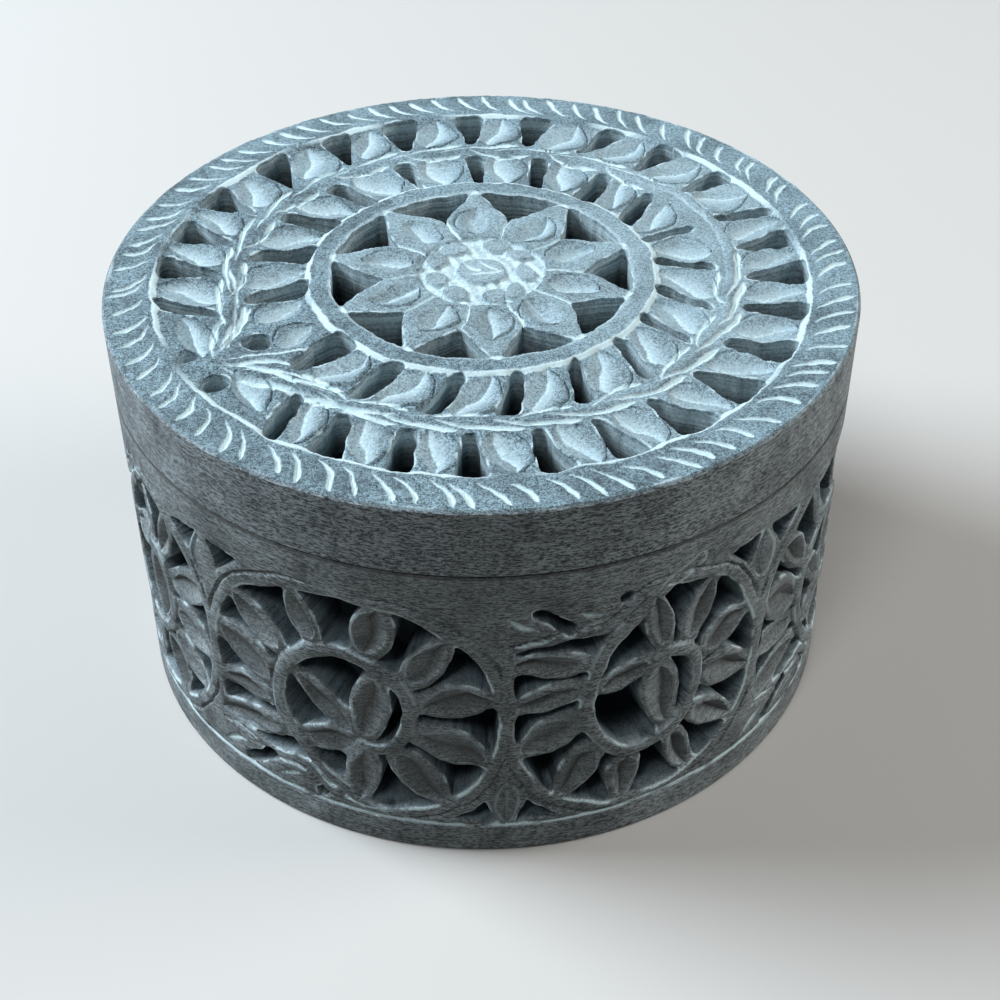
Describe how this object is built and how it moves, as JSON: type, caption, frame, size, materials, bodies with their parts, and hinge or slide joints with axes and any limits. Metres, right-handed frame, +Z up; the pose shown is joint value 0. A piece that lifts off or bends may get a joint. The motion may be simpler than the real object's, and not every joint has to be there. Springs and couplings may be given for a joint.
{
  "type": "trinket box",
  "caption": "Round pierced soapstone trinket box with a lift-off lid, scrolled leaf medallions through its wall, and leaf garlands round a flower through its lid.",
  "frame": {"origin": "centre of the underside, where the box stands", "axes": "+Z up along the turning axis, -Y towards the pictured front"},
  "size_m": [0.1, 0.1, 0.059],
  "materials": {
    "wall_stone": "dry grey soapstone, fine turning scratches, light cuts",
    "lid_stone": "dry blue-grey soapstone with powdery white cuts"
  },
  "bodies": {
    "body": {"box_body": "wall_stone"},
    "lid": {"lid": "lid_stone"}
  },
  "joints": [
    {"name": "lid_lift", "type": "slide", "parent": "body", "child": "lid", "axis": [0, 0, 1], "range_m": [0, 0.06]}
  ]
}
